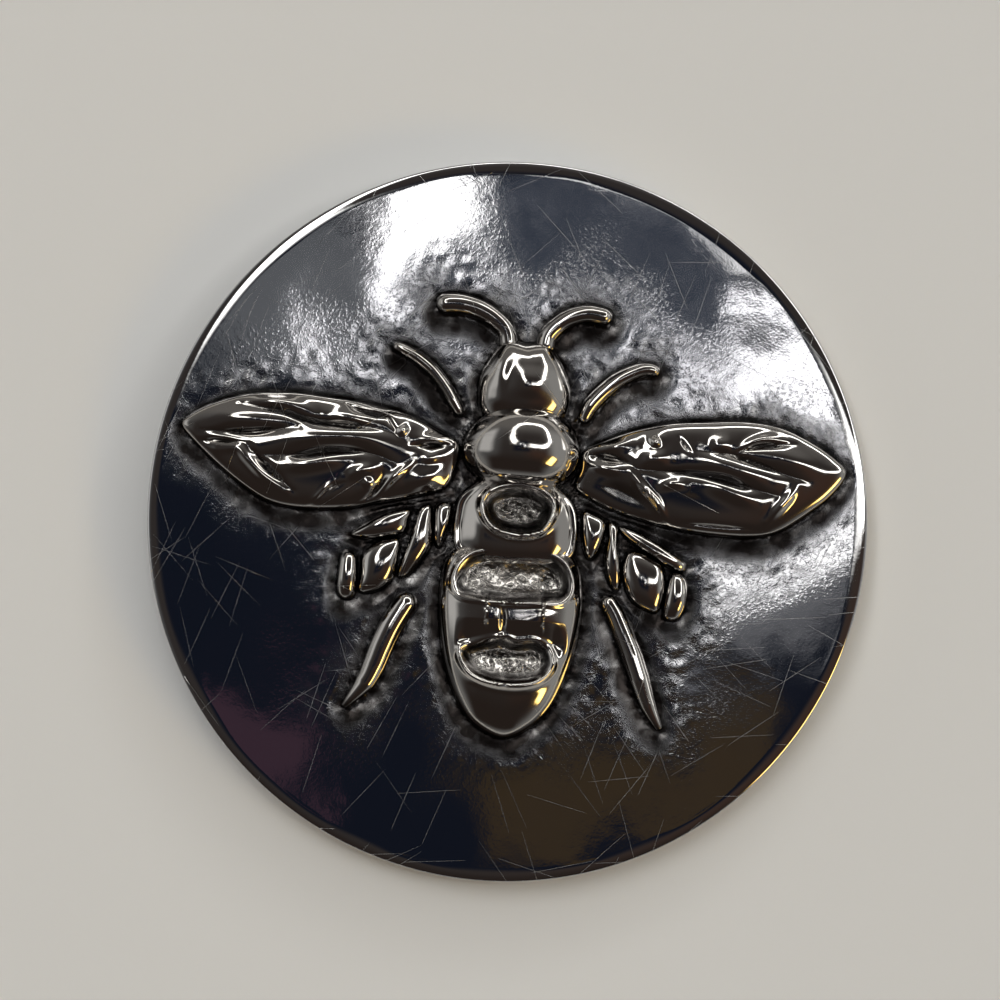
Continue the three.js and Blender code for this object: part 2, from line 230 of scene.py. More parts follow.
# Hairline scratches: each layer is cut into long cells, and a cell may hold one straight
# scratch that tapers at both ends. The layers run in different directions.
SCRATCH_LENGTH = 2.2 * MM
SCRATCH_SPACING = 0.5 * MM
SCRATCH_HEADINGS = (0.35, 1.2, -0.55, 2.3, -1.2, 0.8, 1.9, -0.15)
scratch_group, scratch_in, scratch_out = new_group(
    "hairline_scratches", [("Vector", None), ("Density", 0.2), ("Width", 0.014)], ["Mask"])
tree = scratch_group
total = None
for layer, heading in enumerate(SCRATCH_HEADINGS):
    turned = add_node(tree, "ShaderNodeVectorRotate", rotation_type="Z_AXIS", Angle=heading)
    sized = add_node(tree, "ShaderNodeVectorMath", operation="MULTIPLY_ADD")
    sized.inputs[1].default_value = (1 / SCRATCH_LENGTH, 1 / SCRATCH_SPACING, 0)
    sized.inputs[2].default_value = (7.3 * layer, 3.1 * layer, layer)
    cell = add_node(tree, "ShaderNodeVectorMath", operation="FLOOR")
    local = add_node(tree, "ShaderNodeVectorMath", operation="FRACTION")
    dice = add_node(tree, "ShaderNodeTexWhiteNoise", noise_dimensions="3D")
    rolls = add_node(tree, "ShaderNodeSeparateXYZ")
    spot = add_node(tree, "ShaderNodeSeparateXYZ")
    join(tree, scratch_in.outputs["Vector"], turned.inputs["Vector"])
    join(tree, turned.outputs["Vector"], sized.inputs[0])
    join(tree, sized.outputs["Vector"], cell.inputs[0])
    join(tree, sized.outputs["Vector"], local.inputs[0])
    join(tree, cell.outputs["Vector"], dice.inputs["Vector"])
    join(tree, dice.outputs["Color"], rolls.inputs["Vector"])
    join(tree, local.outputs["Vector"], spot.inputs["Vector"])
    tilt = maths(tree, "SUBTRACT", rolls.outputs["Y"], 0.5)
    offset = maths(tree, "MULTIPLY_ADD", rolls.outputs["X"], 0.5, 0.25)
    ahead = maths(tree, "SUBTRACT", spot.outputs["X"], 0.5)
    line = maths(tree, "MULTIPLY_ADD", tilt, ahead, offset)
    gap = maths(tree, "ABSOLUTE", maths(tree, "SUBTRACT", spot.outputs["Y"], line))
    end = maths(tree, "SUBTRACT", 1.0, spot.outputs["X"])
    taper = maths(tree, "MULTIPLY", maths(tree, "MULTIPLY", spot.outputs["X"], end), 4.0)
    width = maths(tree, "MULTIPLY", taper, scratch_in.outputs["Width"])
    thin = maths(tree, "LESS_THAN", gap, width)
    kept = maths(tree, "LESS_THAN", rolls.outputs["Z"], scratch_in.outputs["Density"])
    mark = maths(tree, "MULTIPLY", thin, kept)
    total = mark if total is None else maths(tree, "MAXIMUM", total, mark)
join(tree, total, scratch_out.inputs["Mask"])

# Cast skin: scattered pits, an even fine grain, and the slow waves that polishing leaves.
skin_group, skin_in, skin_out = new_group(
    "cast_skin", [("Vector", None), ("Pitting", 0.0), ("Grain", 0.05), ("Peel", 1.0)],
    ["Height"])
tree = skin_group
coarse = add_node(tree, "ShaderNodeTexNoise", Scale=8000.0, Detail=2.0, Roughness=0.6)
fine = add_node(tree, "ShaderNodeTexNoise", Scale=11000.0, Detail=1.0)
peel = add_node(tree, "ShaderNodeTexNoise", Scale=700.0, Detail=2.0)
for texture in (coarse, fine, peel):
    join(tree, skin_in.outputs["Vector"], texture.inputs["Vector"])
pit = maths(tree, "MAXIMUM", maths(tree, "SUBTRACT", coarse.outputs["Fac"], 0.5), 0)
rough_part = maths(tree, "MULTIPLY", maths(tree, "MULTIPLY", pit, 5.0),
                   skin_in.outputs["Pitting"])
peel_part = maths(tree, "MULTIPLY", peel.outputs["Fac"], skin_in.outputs["Peel"])
smooth_part = maths(tree, "MULTIPLY_ADD", fine.outputs["Fac"], skin_in.outputs["Grain"],
                    peel_part)
join(tree, maths(tree, "ADD", rough_part, smooth_part), skin_out.inputs["Height"])


# Near-black colour of the patina in the hollows, also used for painted shade.
PATINA_AND_SHADE = (0.022, 0.019, 0.018)
PATINA_ROUGHNESS = 0.16
SCRATCH_ROUGHNESS = 0.2
SCRATCH_DEPTH = 0.25
SKIN_ROUGHNESS = 0.12
SKIN_DEPTH = 0.03 * MM
UPWARD = 0.5


def plated_material(name, metal, polish, pitting, grain, peel, scratches):
    """Nickel plating that is dark where its mask marks patina and painted shade, pitted where
    marked, and scratched on the surfaces that face up."""
    material, tree, shader = new_material(name, metal, 1.0, polish)
    place = add_node(tree, "ShaderNodeTexCoord")
    patina_and_shade = add_node(tree, "ShaderNodeAttribute", attribute_name="patina_and_shade")
    pits = add_node(tree, "ShaderNodeAttribute", attribute_name="pits")
    skin = add_node(tree, "ShaderNodeGroup", node_tree=skin_group)
    skin.inputs["Grain"].default_value = grain
    skin.inputs["Peel"].default_value = peel
    hair = add_node(tree, "ShaderNodeGroup", node_tree=scratch_group)
    hair.inputs["Density"].default_value = scratches
    stain = add_node(tree, "ShaderNodeTexNoise", Scale=1500.0, Detail=3.0)
    join(tree, place.outputs["Object"], skin.inputs["Vector"])
    join(tree, place.outputs["Object"], hair.inputs["Vector"])
    join(tree, place.outputs["Object"], stain.inputs["Vector"])
    join(tree, maths(tree, "MULTIPLY", pits.outputs["Fac"], pitting), skin.inputs["Pitting"])

    # Patina and painted shade: the mask, broken up by a stain, mixes the metal towards the
    # dark colour.
    dark = maths(tree, "MULTIPLY", patina_and_shade.outputs["Fac"],
                 maths(tree, "ADD", stain.outputs["Fac"], 0.45))
    dark_clamped = maths(tree, "MINIMUM", dark, 1.0)
    colour = add_node(tree, "ShaderNodeMix", data_type="RGBA")
    colour.inputs[6].default_value = (*metal, 1)
    colour.inputs[7].default_value = (*PATINA_AND_SHADE, 1)
    join(tree, dark_clamped, colour.inputs[0])
    join(tree, colour.outputs[2], shader.inputs["Base Color"])

    facing = add_node(tree, "ShaderNodeSeparateXYZ")
    join(tree, place.outputs["Normal"], facing.inputs["Vector"])
    marks = maths(tree, "MULTIPLY", hair.outputs["Mask"],
                  maths(tree, "GREATER_THAN", facing.outputs["Z"], UPWARD))
    worn = maths(tree, "MULTIPLY", marks, SCRATCH_ROUGHNESS)
    dull = maths(tree, "MULTIPLY", dark_clamped, PATINA_ROUGHNESS)
    matt = maths(tree, "MULTIPLY", pits.outputs["Fac"], SKIN_ROUGHNESS)
    roughness = maths(tree, "ADD", maths(tree, "ADD", worn, dull),
                      maths(tree, "ADD", matt, polish))
    join(tree, roughness, shader.inputs["Roughness"])

    relief = maths(tree, "SUBTRACT", skin.outputs["Height"],
                   maths(tree, "MULTIPLY", marks, SCRATCH_DEPTH))
    bump = add_node(tree, "ShaderNodeBump", Strength=1.0, Distance=SKIN_DEPTH)
    join(tree, relief, bump.inputs["Height"])
    join(tree, bump.outputs["Normal"], shader.inputs["Normal"])
    return material


face_plating = plated_material(
    "plated_face", (0.5, 0.495, 0.5), polish=0.035, pitting=0.1, grain=0.008, peel=0.1,
    scratches=0.08)
bee_plating = plated_material(
    "plated_bee", (0.46, 0.44, 0.42), polish=0.08, pitting=0.9, grain=0.01, peel=0.1,
    scratches=0.02)

# ------------------------------------------------------------------ face disc
# The cast plate: a rounded rim, a shallow pocket for the steel behind, and a face that
# falls away a little to the rim and dips into a narrow moat all round the bee.

BEE_NODES = [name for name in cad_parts
             if name not in ("face_disc", "steel_backing_disc", "adhesive_layer")]

disc_high = low_high("face_disc")[1]
disc_radius = disc_high[0]
face_level = disc_high[2]
pocket_clearance = 0.1
pocket_radius = steel_radius + pocket_clearance
pocket_floor = glue_high[2]
pocket_break = 0.04
rim_width = 0.4
rim_round = 0.3
rim_steps = 8
back_round = 0.15
back_steps = 3
face_rings = 150
disc_steps = 512

profile = [(0, pocket_floor), (pocket_radius, pocket_floor), (pocket_radius, pocket_break),
           (pocket_radius + pocket_break, 0)]
for step in range(back_steps + 1):
    turn = math.pi / 2 * step / back_steps
    profile.append((disc_radius - back_round * (1 - math.sin(turn)),
                    back_round * (1 - math.cos(turn))))
for step in range(rim_steps + 1):
    turn = math.pi / 2 * step / rim_steps
    profile.append((disc_radius - rim_width * (1 - math.cos(turn)),
                    face_level - rim_round * (1 - math.sin(turn))))
face_edge = disc_radius - rim_width
for ring in range(1, face_rings):
    profile.append((face_edge * (1 - ring / face_rings), face_level))
profile.append((0, face_level))
face_disc = turn_profile(profile, disc_steps)


def mesh_points(piece):
    """The vertices of a piece as an array of x, y, z."""
    points = np.empty(len(piece.data.vertices) * 3)
    piece.data.vertices.foreach_get("co", points)
    return points.reshape(-1, 3)


def put_points(piece, points):
    """Moves the vertices of a piece to new places."""
    piece.data.vertices.foreach_set("co", points.ravel())
    piece.data.update()


def put_mask(piece, name, values):
    """Stores one number per vertex, for the finish to read."""
    mask = piece.data.attributes.new(name, "FLOAT", "POINT")
    mask.data.foreach_set("value", np.clip(values, 0, 1))


# The feet of the bee's pieces, as closely spaced points, tell how near the bee is.
foot_spacing = 0.05
level_slack = 0.002
foot_points = []
for name in BEE_NODES:
    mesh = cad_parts[name].data
    for edge in mesh.edges:
        ends = [np.array(mesh.vertices[index].co) / MM for index in edge.vertices]
        if max(abs(ends[0][2] - face_level), abs(ends[1][2] - face_level)) < level_slack:
            step = ends[1] - ends[0]
            count = int(np.linalg.norm(step) / foot_spacing) + 1
            foot_points += [ends[0] + step * k / count for k in range(count)]
foot_tree = KDTree(len(foot_points))
for index, point in enumerate(foot_points):
    foot_tree.insert((point[0], point[1], 0), index)
foot_tree.balance()


def lumps(xy, spacing, seed):
    """A smooth random height between about -1 and 1, whose bumps are a spacing apart."""
    dice = np.random.default_rng(seed)
    total = np.zeros(len(xy))
    for heading, phase, stretch in dice.random((18, 3)):
        wave = 2 * math.pi / spacing * (0.6 + 0.8 * stretch)
        across = xy[:, 0] * math.cos(2 * math.pi * heading)
        across = across + xy[:, 1] * math.sin(2 * math.pi * heading)
        total += np.cos(wave * across + 2 * math.pi * phase)
    return total / 6


# The moat is deepest on the tail side of each piece. Rough skin lies close to the bee and a
# fainter haze of it reaches further. Patina darkens the moat, deepened there with painted
# shade, and a band of painted shade lies on the tail side of each piece.
dome_radius = 400.0
moat_depth = 0.09
moat_reach = 0.32
skin_reach = 1.0
haze_reach = 2.6
moat_dark_reach = 0.26
lee = 0.35
lee_reach = 0.5
far_away = 99.0
points = mesh_points(face_disc)
on_face = points[:, 2] > face_level - level_slack / 2
nearness = np.full(len(points), far_away)
lee_side = np.full(len(points), far_away)
below = np.zeros(len(points))
for index in np.nonzero(on_face)[0]:
    x, y = points[index, :2]
    foot = foot_tree.find((x, y, 0))
    nearness[index] = foot[2]
    below[index] = (foot[0][1] - y) / max(foot[2], 0.01)
    lee_side[index] = foot_tree.find((x, y + lee, 0))[2]
radius = np.hypot(points[:, 0], points[:, 1])
fall = radius ** 2 / (2 * dome_radius)
moat = moat_depth * (0.55 + 0.45 * below) * np.exp(-(nearness / moat_reach) ** 2)
above_rim = np.clip((points[:, 2] - (face_level - rim_round)) / rim_round, 0, 1)
skin = np.exp(-(nearness / skin_reach) ** 2)
skin *= np.clip(0.7 + 0.7 * lumps(points[:, :2], 1.6, 5), 0.2, 1)
haze = np.exp(-(nearness / haze_reach) ** 2)
haze *= np.clip(0.6 + 0.7 * lumps(points[:, :2], 3.0, 6), 0.1, 1)
uneven = 0.01 * lumps(points[:, :2], 0.6, 3) * skin + 0.006 * lumps(points[:, :2], 5.0, 4)
points[:, 2] -= fall * above_rim + np.where(on_face, moat + uneven, 0)
put_points(face_disc, points)
# Dark colour for patina and painted shade: in the moat beside the feet, in a band of painted
# shade on the tail side of each piece, and more faintly in the colour of the rough skin.
moat_patina_and_shade = np.maximum(np.exp(-(nearness / moat_dark_reach) ** 2),
                    np.exp(-(lee_side / lee_reach) ** 4))
put_mask(face_disc, "patina_and_shade", np.maximum(moat_patina_and_shade, 0.35 * skin))
put_mask(face_disc, "pits", 0.65 * skin + 0.35 * haze)
set_down(face_disc, "disc_casting", ["face_disc"], face_plating)

# ------------------------------------------------------------------ thorax
# A smooth flattened ball, the highest point of the bee. Each raised form starts as half a
# ball whose rim is pulled to the form's outline, with a small fillet where it meets the face.


def curve_point(before, start, end, after, t):
    """A point on the smooth curve through four knots, between the middle two."""
    return 0.5 * (2 * start + (end - before) * t
                  + (2 * before - 5 * start + 4 * end - after) * t ** 2
                  + (3 * start - before - 3 * end + after) * t ** 3)


def smooth_loop(points, count):
    """Evenly spaced points on a smooth closed line through a few points."""
    knots = np.array(points, float)
    fine = []
    for index in range(len(knots)):
        around = [knots[(index + k) % len(knots)] for k in (-1, 0, 1, 2)]
        for t in np.linspace(0, 1, 24, endpoint=False):
            fine.append(curve_point(*around, t))
    fine = np.array(fine + [fine[0]])
    along = np.concatenate([[0], np.cumsum(np.hypot(*np.diff(fine, axis=0).T))])
    spots = np.linspace(0, along[-1], count, endpoint=False)
    loop = np.stack([np.interp(spots, along, fine[:, axis]) for axis in (0, 1)], 1)
    area = np.sum(loop[:, 0] * np.roll(loop[:, 1], -1) - np.roll(loop[:, 0], -1) * loop[:, 1])
    return loop if area > 0 else loop[::-1]


# A form's foot steps out and down from its rim: how far out, and how high as a share of
# the rise from the face to the rim. The last step sinks it into the face.
FOOT_RISE = 0.06
FOOT_DEPTH = 0.3
FOOT_STEPS = ((0.005, 0.5), (0.015, 0.0), (0.04, -0.8), (0.04, -FOOT_DEPTH / FOOT_RISE))
CROWN_WAVES = 2
RELIEF_MARGIN = 0.12


def raise_form(outline, centre, height, section, segments, rings, relief=None):
    """Half a ball pulled to an outline on the face, which gives way to a rounder outline
    towards the crown. Relief adds to its height."""
    bpy.ops.mesh.primitive_uv_sphere_add(segments=segments, ring_count=2 * rings, radius=1)
    bpy.ops.object.mode_set(mode="EDIT")
    bpy.ops.mesh.select_all(action="SELECT")
    bpy.ops.mesh.bisect(plane_co=(0, 0, 0), plane_no=(0, 0, 1), clear_inner=True)
    bpy.ops.mesh.select_all(action="DESELECT")
    bpy.ops.mesh.select_mode(type="EDGE")
    bpy.ops.mesh.select_non_manifold()
    reach = 1.0
    for out, rise in FOOT_STEPS:
        factor = (1 + out) / reach
        bpy.ops.mesh.extrude_region_move()
        bpy.ops.transform.resize(value=(factor, factor, 1), center_override=(0, 0, 0))
        bpy.ops.transform.translate(value=(0, 0, -1))
        reach = 1 + out
    bpy.ops.mesh.edge_face_add()
    bpy.ops.mesh.select_mode(type="VERT")
    bpy.ops.object.mode_set(mode="OBJECT")
    form = bpy.context.object
    ball = mesh_points(form)
    radial = np.hypot(ball[:, 0], ball[:, 1])
    turn = np.arctan2(ball[:, 1], ball[:, 0])
    loop = smooth_loop(outline, segments)
    bearing = np.arctan2(loop[:, 1] - centre[1], loop[:, 0] - centre[0])
    first = int(np.argmin(np.abs(bearing)))
    loop = np.roll(loop, -first, axis=0)
    waves = np.fft.fft(loop[:, 0] + 1j * loop[:, 1])
    waves[CROWN_WAVES + 1:-CROWN_WAVES] = 0
    rounder = np.fft.ifft(waves)
    rounder = np.stack([rounder.real, rounder.imag], 1)
    side = np.round(turn / (2 * math.pi) * segments).astype(int) % segments
    inner = np.minimum(radial, 1)[:, None]
    edge = loop[side] * inner ** 2 + rounder[side] * (1 - inner ** 2)
    ahead = loop[(side + 1) % segments] - loop[side - 1]
    outward = np.stack([ahead[:, 1], -ahead[:, 0]], 1)
    outward /= np.maximum(np.linalg.norm(outward, axis=1, keepdims=True), 1e-9)
    placed = np.array(centre) + inner * (edge - np.array(centre))
    beyond = np.maximum(radial - 1, 0)[:, None]
    placed = placed + outward * beyond
    crown = np.clip(1 - np.minimum(radial, 1) ** section, 0, 1) ** (1 / section)
    level = FOOT_RISE + (height - FOOT_RISE) * crown
    if relief is not None:
        fade = np.clip((1 - radial) / RELIEF_MARGIN, 0, 1)
        level = level + relief(placed) * fade * fade * (3 - 2 * fade)
    layer = np.clip(np.round(-ball[:, 2]), 0, len(FOOT_STEPS)).astype(int)
    for step, (out, rise) in enumerate(FOOT_STEPS, 1):
        level[layer == step] = rise * FOOT_RISE
    put_points(form, np.column_stack([placed, face_level + level]))
    return form


FOOT_SHADE = 0.2


def finish_form(form, name, nodes, patina_and_shade=None, pits=None):
    """Adds the finish's masks to a form, with painted shade and patina darkening its foot,
    and sets it down on the face.
    """
    points = mesh_points(form)
    above = points[:, 2] - face_level
    # Painted shade and patina, darkest where the form meets the face.
    foot_shade = np.exp(-(np.maximum(above, 0) / FOOT_SHADE) ** 4)
    shade = foot_shade if patina_and_shade is None else np.maximum(foot_shade, patina_and_shade(points))
    put_mask(form, "patina_and_shade", shade)
    put_mask(form, "pits", np.zeros(len(points)) if pits is None else pits(points))
    set_down(form, name, nodes, bee_plating)


thorax_height = low_high("thorax")[1][2] - face_level
thorax = raise_form([
    (2.36, 2.5), (2.08, 3.3), (1.4, 3.95), (0.35, 4.15), (-0.65, 3.92), (-1.4, 3.25),
    (-1.72, 2.45), (-1.45, 1.75), (-0.75, 1.28), (0.35, 1.15), (1.45, 1.25), (2.15, 1.75),
], (0.33, 2.65), thorax_height, 2.0, 160, 48)
finish_form(thorax, "thorax_ball", ["thorax"])

# ------------------------------------------------------------------ head
# A bell-shaped bulb, narrow at the front, where the antennae grow out of it as two horns,
# and tucked behind the thorax at the back.


def near_line(xy, line, closed=False):
    """Distance from each point to a line, and how far along the line that is, from 0 to 1."""
    line = np.array(line, float)
    if closed:
        line = np.vstack([line, line[:1]])
    best = np.full(len(xy), 1e9)
    along = np.zeros(len(xy))
    lengths = np.hypot(*np.diff(line, axis=0).T)
    start_at = np.concatenate([[0], np.cumsum(lengths)])
    for index, length in enumerate(lengths):
        step = line[index + 1] - line[index]
        t = np.clip(((xy - line[index]) @ step) / max(length, 1e-9) ** 2, 0, 1)
        gap = np.hypot(*(xy - line[index] - t[:, None] * step).T)
        closer = gap < best
        best = np.where(closer, gap, best)
        along = np.where(closer, (start_at[index] + t * length) / start_at[-1], along)
    return best, along


def smooth_path(points, per_span=6):
    """A smooth open line through a few points."""
    knots = np.array(points, float)
    knots = np.vstack([2 * knots[0] - knots[1], knots, 2 * knots[-1] - knots[-2]])
    path = []
    for index in range(1, len(knots) - 2):
        for t in np.linspace(0, 1, per_span, endpoint=False):
            path.append(curve_point(*knots[index - 1:index + 3], t))
    return np.array(path + [knots[-2]])


SOFT_JOIN = 3.0
BLUNT_END = 0.2


def strokes(xy, marks, power=2.0, taper=0.45):
    """Soft strokes that run into each other, each (points, half width, height), as a tool
    would press them. A power of 1 gives them a sharp middle and broad shoulders. The ends
    fade out over the given part of the length."""
    result = np.zeros(len(xy))
    for points, half_width, height in marks:
        gap, along = near_line(xy, smooth_path(points))
        ends = np.clip(np.minimum(along, 1 - along) / taper, 0, 1)
        ends = ends * ends * (3 - 2 * ends)
        mark = height * np.exp(-(gap / half_width) ** power)
        mark *= BLUNT_END + (1 - BLUNT_END) * ends
        result += mark ** SOFT_JOIN
    return result ** (1 / SOFT_JOIN)


def head_relief(xy):
    """A soft ridge runs from the left horn down the head, beside a broader crown."""
    return strokes(xy, [
        ([(-0.45, 6.3), (-0.52, 5.8), (-0.6, 5.1), (-0.62, 4.3)], 0.3, 0.1),
        ([(0.5, 5.5), (0.5, 4.9), (0.5, 4.2)], 0.6, 0.14)])


head_height = low_high("head")[1][2] - face_level
head = raise_form([
    (1.9, 4.3), (1.86, 4.85), (1.62, 5.45), (1.3, 5.95), (1.02, 6.26), (0.66, 6.28),
    (0.3, 6.22), (-0.06, 6.28), (-0.42, 6.28), (-0.7, 6.0), (-1.02, 5.5), (-1.26, 5.0),
    (-1.3, 4.4), (-1.15, 3.7), (-0.4, 3.25), (0.3, 3.15), (1.0, 3.25), (1.72, 3.7),
], (0.3, 4.7), head_height - 0.1, 2.0, 176, 48, head_relief)
finish_form(head, "head_bulb", ["head"])

# ------------------------------------------------------------------ waist
# Two sloping shoulders between thorax and abdomen and, between them, a bright collar round
# a dark oval bowl with a rough floor, its walls painted dark with patina and painted shade.


def within(xy, loop):
    """Distance inside a closed outline, negative outside it."""
    gap = near_line(xy, loop, closed=True)[0]
    inside = np.zeros(len(xy), bool)
    for (x0, y0), (x1, y1) in zip(loop, np.roll(loop, -1, axis=0)):
        crosses = (y0 > xy[:, 1]) != (y1 > xy[:, 1])
        at = x0 + (xy[:, 1] - y0) * (x1 - x0) / (y1 - y0 if y1 != y0 else 1e-9)
        inside ^= crosses & (xy[:, 0] < at)
    return np.where(inside, gap, -gap)


def soft_step(value, start, end):
    """Runs smoothly from 0 at start to 1 at end."""
    t = np.clip((value - start) / (end - start), 0, 1)
    return t * t * (3 - 2 * t)


waist_bowl = smooth_loop([
    (1.48, 0.55), (1.2, 1.0), (0.35, 1.2), (-0.5, 1.0), (-0.8, 0.5), (-0.45, -0.1),
    (0.35, -0.32), (1.15, -0.14)], 60)


def bowl_lip(depth, gap, width, height):
    """A rounded lip of a given height, whose crest runs a gap outside a bowl's edge."""
    return height * np.exp(-((depth + gap) / width) ** 2)


def bowl_floor(xy, depth, lump, spacing, seed, pivot, tilt):
    """The lumps of a bowl's floor, which tilts about a pivot in x and in y."""
    lean = tilt[0] * (pivot[0] - xy[:, 0]) + tilt[1] * (pivot[1] - xy[:, 1])
    return (lump * lumps(xy, spacing, seed) + lean) * soft_step(depth, 0.05, 0.4)


def waist_relief(xy):
    """A bowl sunk inside a collar, which stands proud of the shoulders."""
    depth = within(xy, waist_bowl)
    collar = bowl_lip(depth, gap=0.12, width=0.13, height=0.2)
    shoulders = 0.3 * soft_step(np.abs(xy[:, 0] - 0.35), 1.1, 2.2)
    floor = bowl_floor(xy, depth, 0.035, 0.45, 7, pivot=(0.35, 0.45), tilt=(0.1, 0.45))
    return collar - shoulders + floor - 0.6 * soft_step(depth, -0.05, 0.35)


def dark_walls(*loops):
    """A mask of patina and painted shade for the walls of bowls, which leaves the worn floors
    bare.
    """
    def mask(points):
        depth = np.max([within(points[:, :2], loop) for loop in loops], axis=0)
        return soft_step(depth, 0.0, 0.1) * (1 - 0.8 * soft_step(depth, 0.15, 0.45))
    return mask


def rough_floors(*loops):
    """A mask for the rough floors of bowls."""
    def mask(points):
        depth = np.max([within(points[:, :2], loop) for loop in loops], axis=0)
        return 0.8 * soft_step(depth, 0.05, 0.3)
    return mask


waist_height = low_high("waist_boss")[1][2] - face_level
waist = raise_form([
    (2.3, 0.65), (2.0, 1.05), (1.3, 1.6), (0.3, 1.8), (-0.7, 1.6), (-1.3, 1.15),
    (-1.72, 0.7), (-1.82, 0.1), (-1.85, -0.5), (-1.7, -1.1), (-0.8, -1.4), (0.3, -1.45),
    (1.5, -1.4), (2.3, -1.1), (2.45, -0.4), (2.42, 0.15),
], (0.3, 0.2), waist_height, 3.2, 176, 60, waist_relief)
finish_form(waist, "waist_and_collar", ["waist_boss"],
            patina_and_shade=dark_walls(waist_bowl), pits=rough_floors(waist_bowl))

# ------------------------------------------------------------------ abdomen
# An egg with two broad bowls across its back. Their floors keep the rough skin of the
# mould, and the band between them is split by a fine groove.

front_bowl = smooth_loop([
    (0.4, -0.98), (-0.8, -1.08), (-1.45, -1.5), (-1.68, -2.2), (-1.35, -2.62),
    (-0.3, -2.68), (1.2, -2.66), (2.05, -2.6), (2.35, -2.1), (2.1, -1.4), (1.5, -1.05)], 90)
rear_bowl = smooth_loop([
    (0.1, -4.02), (-0.7, -4.2), (-1.3, -4.5), (-1.05, -5.1), (-0.4, -5.42), (0.5, -5.5),
    (1.35, -5.35), (1.8, -4.9), (1.7, -4.32), (1.2, -4.06), (0.6, -4.12)], 90)


def abdomen_relief(xy):
    """The two bowls and their lips, and the band between them, which leans back and is
    split by the groove into two cheeks."""
    front = within(xy, front_bowl)
    rear = within(xy, rear_bowl)
    lips = bowl_lip(front, gap=0.09, width=0.09, height=0.07)
    lips = lips + bowl_lip(rear, gap=0.09, width=0.1, height=0.08)
    lips = lips + strokes(xy, [
        ([(-1.8, -2.3), (-0.7, -2.74), (1.2, -2.72), (2.4, -2.4)], 0.1, 0.05),
        ([(-1.4, -4.8), (-0.9, -5.4), (0.4, -5.66), (1.5, -5.46), (1.95, -4.8)], 0.14, 0.1)])
    bowls = 0.5 * soft_step(front, -0.05, 0.45) + 0.45 * soft_step(rear, -0.05, 0.4)
    floors = bowl_floor(xy, front, 0.04, 0.55, 8, pivot=(0.4, -1.9), tilt=(0.12, 0.48))
    floors = floors + bowl_floor(xy, rear, 0.035, 0.5, 9, pivot=(0, -4.7), tilt=(0, 0.42))
    groove = strokes(xy, [([(0.02, -2.8), (0.06, -3.3), (0.1, -3.95)], 0.1, 0.14)])
    cheeks = strokes(xy, [([(-0.55, -3.12), (-0.45, -3.12)], 0.36, 0.2),
                          ([(1.38, -3.1), (1.48, -3.1)], 0.36, 0.2)], taper=0.01)
    band = soft_step(2.0 - np.abs(xy[:, 0] - 0.4), 0.0, 0.6)
    band *= 1 - soft_step(-xy[:, 1], 4.1, 4.8)
    lean = 0.45 * np.clip(-3.35 - xy[:, 1], 0, 0.75) * band
    return lips + cheeks + floors - bowls - groove - lean


abdomen_height = low_high("abdomen")[1][2] - face_level
abdomen = raise_form([
    (0.35, -0.62), (-0.8, -0.66), (-1.6, -0.88), (-2.05, -1.45), (-2.2, -2.5),
    (-2.1, -3.9), (-1.85, -5.1), (-1.4, -6.2), (-0.75, -7.05), (0.3, -7.5), (1.2, -7.1),
    (1.9, -6.35), (2.4, -5.2), (2.7, -3.9), (2.78, -2.6), (2.6, -1.5), (2.15, -0.88),
    (1.4, -0.66),
], (0.3, -3.6), abdomen_height, 2.2, 288, 96, abdomen_relief)
finish_form(abdomen, "abdomen_egg", ["abdomen"],
            patina_and_shade=dark_walls(front_bowl, rear_bowl),
            pits=rough_floors(front_bowl, rear_bowl))

# ------------------------------------------------------------------ antennae and legs
# Round-ended bars that lie half sunk in the face: the antennae curl out from the horns of
# the head, the forelegs reach forward and the hind legs taper back.


def lay_bar(name, node, line, half_widths, height):
    """A bar of oval section along a smooth line, half sunk in the face, with round ends."""
    path = smooth_path(line, 12)
    widths = np.interp(np.linspace(0, 1, len(path)), np.linspace(0, 1, len(half_widths)),
                       half_widths)
    spans = np.hypot(*np.diff(path, axis=0).T)
    along = np.concatenate([[0], np.cumsum(spans)])
    for end, tip in ((0, along), (-1, along[-1] - along)):
        reach = half_widths[end]
        widths = widths * np.sqrt(np.clip(1 - (1 - np.clip(tip / reach, 0, 1)) ** 2, 1e-4, 1))
    curve = bpy.data.curves.new(name, "CURVE")
    curve.dimensions = "3D"
    curve.bevel_depth = 1.0
    curve.bevel_resolution = 10
    curve.use_fill_caps = True
    spline = curve.splines.new("POLY")
    spline.points.add(len(path) - 1)
    for point, spot, width in zip(spline.points, path, widths):
        point.co = (spot[0], spot[1], 0, 1)
        point.radius = width
    bar = bpy.data.objects.new(name, curve)
    bpy.context.collection.objects.link(bar)
    bpy.context.view_layer.objects.active = bar
    bar.select_set(True)
    bpy.ops.object.convert(target="MESH")
    bar = bpy.context.object
    points = mesh_points(bar)
    widest = max(half_widths)
    points[:, 2] = face_level + points[:, 2] / widest * height
    put_points(bar, points)
    finish_form(bar, name, [node])


